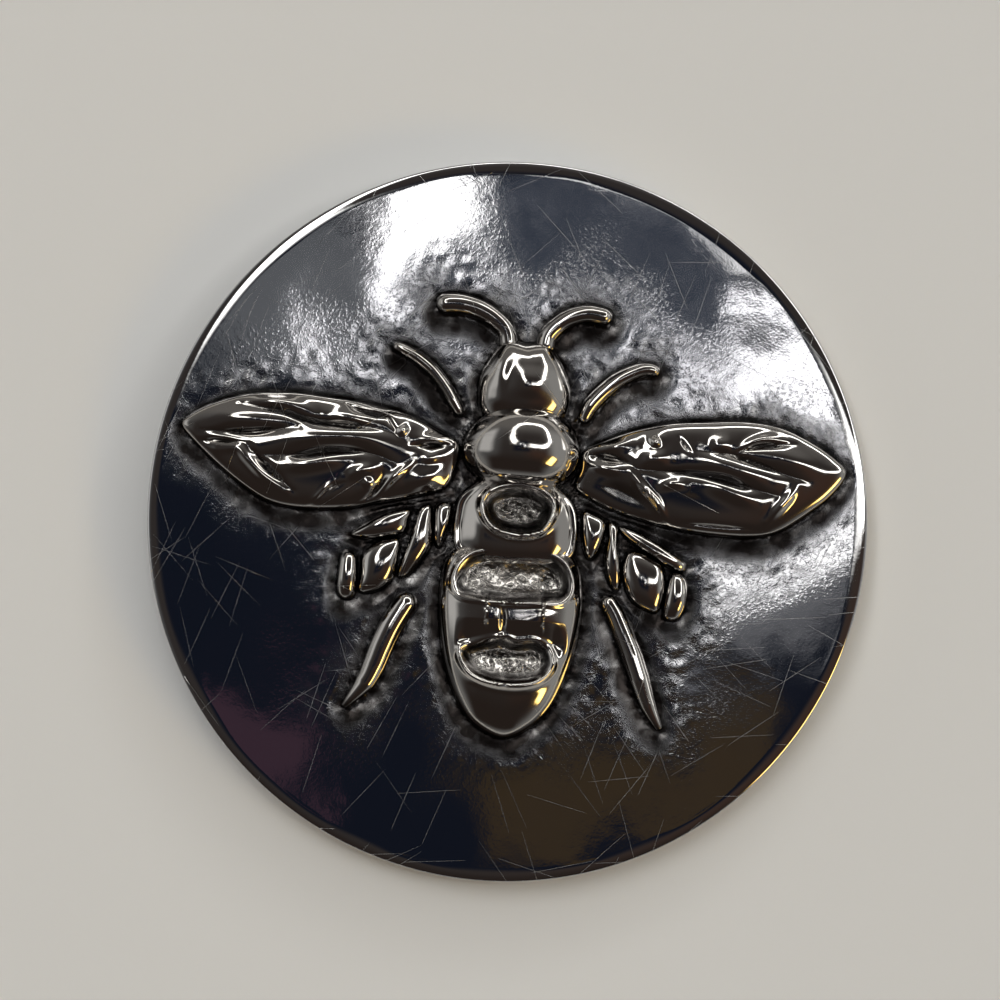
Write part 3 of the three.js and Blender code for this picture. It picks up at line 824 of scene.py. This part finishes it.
antenna_height = low_high("left_antenna")[1][2] - face_level
leg_height = low_high("left_foreleg")[1][2] - face_level
lay_bar("antenna_left", "left_antenna", [
    (-2.95, 7.3), (-2.5, 7.42), (-2.0, 7.42), (-1.4, 7.28), (-0.85, 6.98), (-0.45, 6.55),
    (-0.3, 5.85)], [0.36, 0.38, 0.38, 0.36, 0.34, 0.34, 0.36], antenna_height)
lay_bar("antenna_right", "right_antenna", [
    (3.18, 7.2), (2.8, 7.32), (2.3, 7.36), (1.8, 7.22), (1.35, 6.92), (1.0, 6.5),
    (0.9, 5.85)], [0.33, 0.34, 0.34, 0.33, 0.32, 0.33, 0.36], antenna_height)
lay_bar("foreleg_left", "left_foreleg", [
    (-4.35, 5.86), (-4.0, 5.74), (-3.5, 5.5), (-2.95, 5.1), (-2.5, 4.6), (-2.15, 4.1),
    (-1.8, 3.55)], [0.16, 0.22, 0.25, 0.26, 0.26, 0.26, 0.2], leg_height)
lay_bar("foreleg_right", "right_foreleg", [
    (4.95, 5.45), (4.6, 5.58), (4.2, 5.5), (3.55, 5.15), (3.0, 4.65), (2.6, 4.15),
    (2.35, 3.55)], [0.22, 0.26, 0.28, 0.3, 0.3, 0.3, 0.24], leg_height)
lay_bar("hind_leg_left", "left_hind_leg", [
    (-3.1, -2.7), (-3.45, -3.25), (-3.8, -3.9), (-4.08, -4.6), (-4.3, -5.25), (-4.6, -5.9),
    (-5.3, -6.8)], [0.38, 0.42, 0.44, 0.44, 0.42, 0.36, 0.1], leg_height)
lay_bar("hind_leg_right", "right_hind_leg", [
    (3.5, -2.35), (3.9, -2.9), (4.25, -3.6), (4.6, -4.35), (4.92, -5.15), (5.28, -6.05),
    (5.75, -6.9)], [0.3, 0.34, 0.38, 0.4, 0.38, 0.3, 0.12], leg_height)

# ------------------------------------------------------------------ forewings
# Two broad leaves with crowned tops. Each holds long rounded cells with fine grooves
# between them, and a few sharp veins.


CELL_RISE = 0.16
WING_SECTION = 2.6
GROOVE_POWER = 1.3
GROOVE_SHADE = 3.5


def forewing(name, node, outline, centre, crests, grooves):
    """A leaf with raised cells and pressed grooves, which are painted dark with patina and
    painted shade.
    """
    height = low_high(node)[1][2] - face_level
    form = raise_form(outline, centre, height - CELL_RISE, WING_SECTION, 384, 80,
                      lambda xy: strokes(xy, crests) - strokes(xy, grooves, GROOVE_POWER))
    finish_form(form, name, [node],
                patina_and_shade=lambda points: GROOVE_SHADE * strokes(points[:, :2], grooves))


forewing("forewing_left", "left_forewing", [
    (-11.45, 2.62), (-10.9, 2.0), (-10.0, 1.22), (-9.0, 0.52), (-8.2, 0.14), (-7.2, 0.0),
    (-5.7, 0.08), (-4.6, 0.34), (-3.2, 0.68), (-2.2, 1.05), (-1.9, 1.75), (-1.85, 2.6),
    (-2.6, 3.02), (-3.6, 3.48), (-5.0, 3.78), (-6.4, 3.92), (-7.8, 4.0), (-9.2, 3.85),
    (-10.4, 3.45), (-11.2, 2.98),
], (-6.5, 2.1), [
    ([(-10.9, 2.85), (-9.8, 3.02), (-8.6, 3.02), (-7.7, 2.92)], 0.32, 0.15),
    ([(-9.3, 3.6), (-8.2, 3.66), (-7.3, 3.5), (-6.95, 3.3)], 0.2, 0.15),
    ([(-6.5, 3.3), (-5.7, 3.28), (-4.9, 3.08)], 0.22, 0.13),
    ([(-5.4, 3.68), (-4.5, 3.52), (-4.0, 3.2)], 0.14, 0.1),
    ([(-3.95, 3.08), (-3.65, 2.78)], 0.2, 0.16),
    ([(-3.4, 2.7), (-2.7, 2.7), (-2.1, 2.68)], 0.2, 0.13),
    ([(-8.8, 2.12), (-7.6, 2.42), (-6.3, 2.58), (-5.2, 2.62), (-4.3, 2.42), (-3.7, 2.2)],
     0.34, 0.2),
    ([(-10.2, 1.9), (-9.5, 1.96), (-9.1, 1.6), (-8.5, 1.05), (-7.75, 0.6)], 0.17, 0.15),
    ([(-8.1, 1.4), (-7.2, 1.55), (-6.4, 1.72), (-5.6, 1.84)], 0.24, 0.15),
    ([(-6.05, 1.05), (-6.4, 0.7), (-6.85, 0.2)], 0.09, 0.08),
    ([(-5.7, 1.15), (-5.2, 1.45), (-4.6, 1.6)], 0.2, 0.15),
    ([(-5.05, 0.85), (-4.7, 1.2)], 0.24, 0.1),
    ([(-4.7, 0.45), (-4.3, 1.0), (-3.9, 1.4), (-3.45, 1.8), (-3.38, 2.0)], 0.14, 0.15),
    ([(-3.7, 1.1), (-2.9, 1.35), (-2.2, 1.6)], 0.34, 0.14),
    ([(-3.2, 1.95), (-2.4, 2.12)], 0.18, 0.1),
], [
    ([(-9.5, 3.5), (-8.7, 3.4), (-7.9, 3.3), (-7.3, 3.12), (-6.6, 3.02), (-5.5, 2.98),
      (-4.6, 2.92), (-4.0, 2.76)], 0.12, 0.2),
    ([(-6.1, 3.95), (-5.6, 3.62), (-4.9, 3.42), (-4.4, 3.34), (-4.2, 3.1), (-3.9, 2.72)],
     0.09, 0.13),
    ([(-10.8, 2.5), (-10.0, 2.5), (-9.1, 2.52), (-8.2, 2.68), (-7.4, 2.84)], 0.14, 0.2),
    ([(-11.0, 2.12), (-10.1, 2.17), (-9.2, 2.17)], 0.1, 0.15),
    ([(-9.1, 2.1), (-8.85, 1.78), (-8.35, 1.32), (-7.85, 0.9), (-7.45, 0.6)], 0.11, 0.18),
    ([(-8.6, 1.78), (-7.4, 1.84), (-6.5, 2.02), (-5.5, 2.1), (-4.7, 2.02), (-4.0, 1.8)],
     0.14, 0.2),
    ([(-4.4, 1.7), (-4.4, 1.15), (-4.75, 0.6), (-5.2, 0.3)], 0.12, 0.16),
    ([(-6.65, 0.3), (-6.15, 0.8), (-5.7, 1.0)], 0.07, 0.08),
    ([(-3.5, 2.4), (-2.8, 2.46), (-1.9, 2.54)], 0.11, 0.22),
])
forewing("forewing_right", "right_forewing", [
    (11.6, 2.4), (11.2, 2.9), (10.3, 3.45), (9.2, 3.88), (8.0, 4.0), (6.6, 3.9),
    (5.4, 3.76), (4.2, 3.44), (3.2, 3.02), (2.5, 2.62), (2.42, 2.0), (2.3, 1.3),
    (3.2, 0.78), (4.4, 0.4), (5.7, 0.12), (6.8, 0.0), (8.2, -0.02), (9.2, 0.16),
    (10.1, 0.72), (11.1, 1.6),
], (6.9, 2.0), [
    ([(2.6, 2.74), (3.5, 2.88), (4.3, 3.02)], 0.22, 0.13),
    ([(4.75, 2.95), (5.1, 3.25)], 0.2, 0.17),
    ([(4.3, 2.45), (5.0, 2.55), (5.5, 2.72)], 0.26, 0.14),
    ([(6.7, 3.12), (7.6, 3.2)], 0.28, 0.12),
    ([(7.7, 3.0), (8.3, 3.32), (8.8, 3.46), (9.4, 3.44)], 0.15, 0.13),
    ([(8.2, 2.85), (9.2, 2.85), (10.2, 2.65), (10.9, 2.5)], 0.34, 0.14),
    ([(6.15, 2.6), (7.1, 2.5), (8.1, 2.25), (9.1, 2.0)], 0.34, 0.19),
    ([(6.5, 1.82), (7.3, 1.65), (8.0, 1.4), (8.7, 1.15)], 0.28, 0.16),
    ([(5.2, 1.55), (5.6, 1.7), (6.05, 1.65)], 0.15, 0.12),
    ([(4.15, 2.0), (4.7, 1.4), (5.15, 0.95), (5.5, 0.35)], 0.12, 0.17),
    ([(9.95, 1.95), (9.65, 1.45), (9.2, 0.9), (8.95, 0.6)], 0.16, 0.16),
    ([(2.6, 2.16), (3.3, 2.06), (3.9, 1.98)], 0.16, 0.13),
], [
    ([(2.4, 2.48), (3.2, 2.46), (4.0, 2.3), (4.3, 2.15)], 0.14, 0.22),
    ([(5.75, 3.3), (5.95, 3.0), (6.2, 2.8)], 0.06, 0.1),
    ([(7.6, 2.86), (8.3, 3.1), (9.0, 3.22), (9.8, 3.32)], 0.09, 0.15),
    ([(6.4, 2.88), (7.6, 2.8), (8.6, 2.52), (9.4, 2.26), (10.3, 2.05)], 0.12, 0.15),
    ([(4.3, 2.12), (5.3, 2.08), (6.3, 2.08), (7.4, 1.94), (8.3, 1.7), (9.3, 1.5)],
     0.14, 0.2),
    ([(2.8, 1.5), (3.6, 1.4), (4.5, 1.0), (5.1, 0.5)], 0.4, 0.16),
    ([(5.8, 0.34), (7.0, 0.32), (8.7, 0.28)], 0.07, 0.08),
])

# ------------------------------------------------------------------ hindwings
# A fan of five small cushions on each side, cast with narrow dark gaps between them.


PANEL_SECTION = 2.1
PANEL_GROWTH = (0.08, 0.05)


def hindwing(side, panels):
    """The five cushions of one hindwing, each a little larger than its drawn outline."""
    for panel, outline in panels.items():
        node = f"{side}_hindwing_{panel}_panel"
        low, high = low_high(node)
        middle = (low + high) / 2
        outline = [(x + PANEL_GROWTH[0] * (x - middle[0]),
                    y + PANEL_GROWTH[1] * (y - middle[1])) for x, y in outline]
        form = raise_form(outline, (middle[0], middle[1]), high[2] - face_level,
                          PANEL_SECTION, 96, 28)
        finish_form(form, f"hindwing_{side}_{panel}", [node])


hindwing("left", {
    "front": [(-3.45, 0.18), (-4.05, 0.1), (-4.7, -0.25), (-5.3, -0.76), (-4.7, -0.88),
              (-4.1, -0.74), (-3.6, -0.6), (-3.48, -0.2)],
    "middle": [(-3.72, -0.9), (-4.2, -0.9), (-4.65, -1.15), (-4.9, -1.5), (-4.92, -2.1),
               (-4.95, -2.65), (-4.65, -2.74), (-4.2, -2.56), (-3.88, -2.2), (-3.74, -1.55)],
    "outer": [(-5.16, -1.55), (-5.42, -1.36), (-5.66, -1.55), (-5.72, -2.1), (-5.72, -2.75),
              (-5.48, -3.0), (-5.16, -2.86), (-5.1, -2.2)],
    "leaf": [(-2.72, 0.36), (-3.08, 0.24), (-3.2, -0.3), (-3.4, -1.0), (-3.56, -1.6),
             (-3.62, -2.08), (-3.28, -2.0), (-2.9, -1.52), (-2.6, -0.9), (-2.62, -0.2)],
    "root": [(-2.0, 0.5), (-2.46, 0.42), (-2.5, -0.2), (-2.48, -0.75), (-2.3, -1.02),
             (-2.12, -0.6), (-1.98, 0.0)],
})
hindwing("right", {
    "front": [(3.95, 0.06), (4.15, -0.28), (4.6, -0.58), (5.1, -0.86), (5.6, -1.18),
              (6.1, -1.3), (6.15, -1.0), (5.6, -0.6), (5.0, -0.26), (4.45, 0.0)],
    "middle": [(4.25, -0.86), (4.12, -1.4), (4.24, -1.95), (4.5, -2.42), (4.9, -2.68),
               (5.3, -2.76), (5.5, -2.4), (5.56, -1.8), (5.42, -1.22), (5.0, -0.92),
               (4.6, -0.78)],
    "outer": [(5.78, -1.5), (5.66, -2.1), (5.6, -2.7), (5.7, -3.0), (6.05, -3.0),
              (6.28, -2.66), (6.36, -2.1), (6.26, -1.6), (6.0, -1.4)],
    "leaf": [(3.54, 0.16), (3.52, -0.4), (3.45, -1.1), (3.58, -1.7), (3.85, -2.08),
             (4.02, -1.9), (3.98, -1.3), (3.88, -0.6), (3.82, 0.06)],
    "root": [(2.62, 0.5), (2.6, -0.1), (2.72, -0.8), (2.95, -1.1), (3.22, -0.8),
             (3.38, -0.2), (3.36, 0.24), (3.0, 0.46)],
})

# ------------------------------------------------------------------ floor, light and camera
# A pale studio floor, and a room of soft panels round a dark ceiling for the plating to
# reflect. The camera looks straight down on the marker.

floor_material, tree, shader = new_material("pale_floor", (0.62, 0.62, 0.61), 0.0, 0.8)
bpy.ops.mesh.primitive_plane_add(size=4, location=(0, 0, cad_low[2]))
floor = bpy.context.object
floor.name = "floor"
floor.data.materials.append(floor_material)

lens_distance = 160.0
world = bpy.data.worlds.new("studio")
world.use_nodes = True
bpy.context.scene.world = world
tree = world.node_tree
heading = add_node(tree, "ShaderNodeTexCoord")
parts = add_node(tree, "ShaderNodeSeparateXYZ")
join(tree, heading.outputs["Generated"], parts.inputs["Vector"])

# The room is laid out by slope: a spot at (east, north) is what the camera sees in metal
# that slopes down by that much to the east and to the north. The horizon is at 1. Layers
# are painted over each other, the first one lowest.
share = maths(tree, "MAXIMUM", maths(tree, "ADD", parts.outputs["Z"], 1.0), 0.02)
slope = add_node(tree, "ShaderNodeCombineXYZ")
join(tree, maths(tree, "DIVIDE", parts.outputs["X"], share), slope.inputs["X"])
join(tree, maths(tree, "DIVIDE", parts.outputs["Y"], share), slope.inputs["Y"])
FACE_SPREAD = 1 / (2 * lens_distance) + 1 / dome_radius
layers = []


def wobble(scale, amount):
    """The slope coordinates with an uneven shift, which roughens the edges of patches."""
    noise = add_node(tree, "ShaderNodeTexNoise", Scale=scale, Detail=4.0, Roughness=0.65)
    centred = add_node(tree, "ShaderNodeVectorMath", operation="SUBTRACT")
    centred.inputs[1].default_value = (0.5, 0.5, 0.5)
    spread = add_node(tree, "ShaderNodeVectorMath", operation="MULTIPLY_ADD")
    spread.inputs[1].default_value = (amount, amount, 0)
    join(tree, slope.outputs["Vector"], noise.inputs["Vector"])
    join(tree, noise.outputs["Color"], centred.inputs[0])
    join(tree, centred.outputs["Vector"], spread.inputs[0])
    join(tree, slope.outputs["Vector"], spread.inputs[2])
    return spread.outputs["Vector"]


def from_patch(place, centre, half, turn):
    """Distance from a rectangle in the room, zero inside it."""
    moved = add_node(tree, "ShaderNodeVectorMath", operation="SUBTRACT")
    moved.inputs[1].default_value = (*centre, 0)
    turned = add_node(tree, "ShaderNodeVectorRotate", rotation_type="Z_AXIS",
                      Angle=-math.radians(turn))
    size = add_node(tree, "ShaderNodeVectorMath", operation="ABSOLUTE")
    over = add_node(tree, "ShaderNodeVectorMath", operation="SUBTRACT")
    over.inputs[1].default_value = (*half, 0)
    beyond = add_node(tree, "ShaderNodeVectorMath", operation="MAXIMUM")
    length = add_node(tree, "ShaderNodeVectorMath", operation="LENGTH")
    join(tree, place, moved.inputs[0])
    for first, second in ((moved, turned), (turned, size), (size, over), (over, beyond),
                          (beyond, length)):
        join(tree, first.outputs["Vector"], second.inputs[0])
    return length.outputs["Value"]


def patch(colour, centre, half, fade, turn=0, place=None):
    """A rectangle of light whose edges fade out over a given slope."""
    gap = from_patch(place or slope.outputs["Vector"], centre, half, turn)
    soft = add_node(tree, "ShaderNodeMapRange", interpolation_type="SMOOTHSTEP",
                    From_Min=fade, From_Max=0.0)
    join(tree, gap, soft.inputs["Value"])
    layers.append((colour, soft.outputs["Result"]))


def ring(colour, centre, half, corner, line, place):
    """A thin, broken, bright line round a rectangle with round corners."""
    gap = maths(tree, "SUBTRACT", from_patch(place, centre, half, 0), corner)
    soft = add_node(tree, "ShaderNodeMapRange", interpolation_type="SMOOTHSTEP",
                    From_Min=line, From_Max=0.3 * line)
    join(tree, maths(tree, "ABSOLUTE", gap), soft.inputs["Value"])
    breaks = add_node(tree, "ShaderNodeTexNoise", Scale=4.0, Detail=2.0)
    strength = add_node(tree, "ShaderNodeMapRange", From_Min=0.34, From_Max=0.52, To_Min=0.2)
    join(tree, slope.outputs["Vector"], breaks.inputs["Vector"])
    join(tree, breaks.outputs["Fac"], strength.inputs["Value"])
    mask = maths(tree, "MULTIPLY", soft.outputs["Result"], strength.outputs["Result"])
    layers.append((colour, mask))


def face_patch(colour, x, y, half_x, half_y, fade, turn, place):
    """A patch given by where the face shows it, in millimetres."""
    patch(colour, (x * FACE_SPREAD, y * FACE_SPREAD),
          (half_x * FACE_SPREAD, half_y * FACE_SPREAD), fade * FACE_SPREAD, turn, place)


def flecks(colour, x, y, half_x, half_y, fade, level):
    """Fine grains of a colour over a patch of the face, as a woven ceiling would show."""
    gap = from_patch(slope.outputs["Vector"], (x * FACE_SPREAD, y * FACE_SPREAD),
                     (half_x * FACE_SPREAD, half_y * FACE_SPREAD), 0)
    soft = add_node(tree, "ShaderNodeMapRange", interpolation_type="SMOOTHSTEP",
                    From_Min=fade * FACE_SPREAD, From_Max=0.0)
    grains = add_node(tree, "ShaderNodeTexNoise", Scale=480.0 + 100 * level, Detail=3.0,
                      Roughness=0.7)
    spots = add_node(tree, "ShaderNodeMapRange", From_Min=level - 0.06,
                     From_Max=level + 0.06, To_Max=0.8)
    join(tree, gap, soft.inputs["Value"])
    join(tree, slope.outputs["Vector"], grains.inputs["Vector"])
    join(tree, grains.outputs["Fac"], spots.inputs["Value"])
    layers.append((colour, maths(tree, "MULTIPLY", soft.outputs["Result"],
                                 spots.outputs["Result"])))


wavy = wobble(1.6, 0.12)
ragged = wobble(160.0, 0.035)

# The dark ceiling, and the dim and warm places round it.
patch((0.05, 0.043, 0.04), (0.0, 0.0), (0.3, 0.3), 0.6)
patch((0.2, 0.19, 0.18), (0.0, 0.75), (0.5, 0.05), 0.5)
patch((0.12, 0.12, 0.12), (-0.6, 0.1), (0.05, 0.3), 0.3)
patch((0.08, 0.045, 0.032), (0.35, -0.25), (0.1, 0.05), 0.3)
patch((0.035, 0.026, 0.022), (-0.1, -0.55), (0.35, 0.15), 0.3)
# Pale walls to the west and the east, and a window low in the east.
patch((0.75, 0.75, 0.74), (-0.7, 0.2), (0.1, 0.25), 0.16, 0, wavy)
patch((0.42, 0.42, 0.41), (0.82, 0.0), (0.16, 0.4), 0.28)
patch((3.0, 3.0, 2.9), (0.98, 0.3), (0.05, 0.16), 0.07, 0, wavy)
# A golden lamp with its glow, a ring lamp, and a blue-black middle.
patch((0.14, 0.09, 0.035), (0.52, -0.32), (0.08, 0.08), 0.12, 60)
patch((7.0, 4.7, 1.4), (0.54, -0.31), (0.11, 0.045), 0.05, 60, wavy)
ring((8.0, 7.95, 7.7), (0.16, 0.345), (0.09, 0.05), 0.26, 0.05, wavy)
patch((0.010, 0.013, 0.023), (0.0, 0.0), (0.07, 0.07), 0.1)
# What the flat face shows: a blue-grey top, white clouds, a grey slope and a dim floor.
for cloud in (
    ((0.04, 0.05, 0.075), 2.5, 9.2, 5.0, 2.4, 2.0, 0),
    ((0.17, 0.18, 0.195), -8.6, 7.0, 2.4, 2.6, 1.6, 20),
    ((3.6, 3.6, 3.6), -3.5, 10.1, 1.4, 1.4, 0.5, 10),
    ((3.6, 3.6, 3.7), -4.5, 7.4, 0.7, 2.5, 0.7, -6),
    ((1.8, 1.8, 1.8), 5.6, 10.7, 5.4, 0.15, 0.6, -28),
    ((4.0, 4.0, 4.1), 10.1, 4.8, 1.4, 1.9, 0.6, 30),
    ((2.8, 2.8, 2.9), 6.9, 4.6, 2.8, 0.5, 1.0, -8),
    ((4.6, 4.6, 4.6), 8.5, -1.1, 3.7, 0.35, 0.5, 31),
    ((0.2, 0.205, 0.22), 9.0, -3.2, 2.4, 0.4, 1.6, 15),
    ((0.065, 0.037, 0.054), -8.4, -9.2, 1.9, 1.8, 0.2, 0),
    ((0.06, 0.042, 0.025), 4.8, -9.0, 4.8, 1.8, 1.2, 12),
):
    face_patch(*cloud, ragged)
flecks((0.7, 0.74, 0.8), 2.0, 7.5, 5.5, 2.6, 2.4, 0.6)
flecks((0.02, 0.025, 0.035), 3.0, 1.0, 9.0, 7.5, 2.0, 0.62)

room = None
for colour, mask in layers:
    mix = add_node(tree, "ShaderNodeMix", data_type="RGBA")
    mix.inputs[7].default_value = (*colour, 1)
    if room is None:
        mix.inputs[6].default_value = (0.27, 0.27, 0.265, 1)
    else:
        join(tree, room, mix.inputs[6])
    join(tree, mask, mix.inputs[0])
    room = mix.outputs[2]
join(tree, room, tree.nodes["Background"].inputs["Color"])

# One broad lamp overhead lights the floor and stays out of the reflections.
lamp_data = bpy.data.lights.new("floor_light", "AREA")
lamp_data.size = 0.5
lamp_data.energy = 1.3
lamp = bpy.data.objects.new("floor_light", lamp_data)
bpy.context.collection.objects.link(lamp)
lamp.location = (-0.1, 0.15, 0.6)
lamp.rotation_euler = (math.radians(-14), math.radians(-9), 0)
lamp.visible_camera = False
lamp.visible_glossy = False

view_width = 34.66
sensor_width = 36.0
camera_data = bpy.data.cameras.new("camera")
camera_data.sensor_width = sensor_width
camera_data.lens = sensor_width * (lens_distance - face_level) / view_width
camera_data.clip_start = 0.005
camera = bpy.data.objects.new("camera", camera_data)
bpy.context.collection.objects.link(camera)
camera.rotation_euler = (0, 0, math.radians(3.7))
camera.location = (-0.3 * MM, 0.74 * MM, lens_distance * MM)
bpy.context.scene.camera = camera
bpy.context.scene.view_settings.view_transform = "Standard"
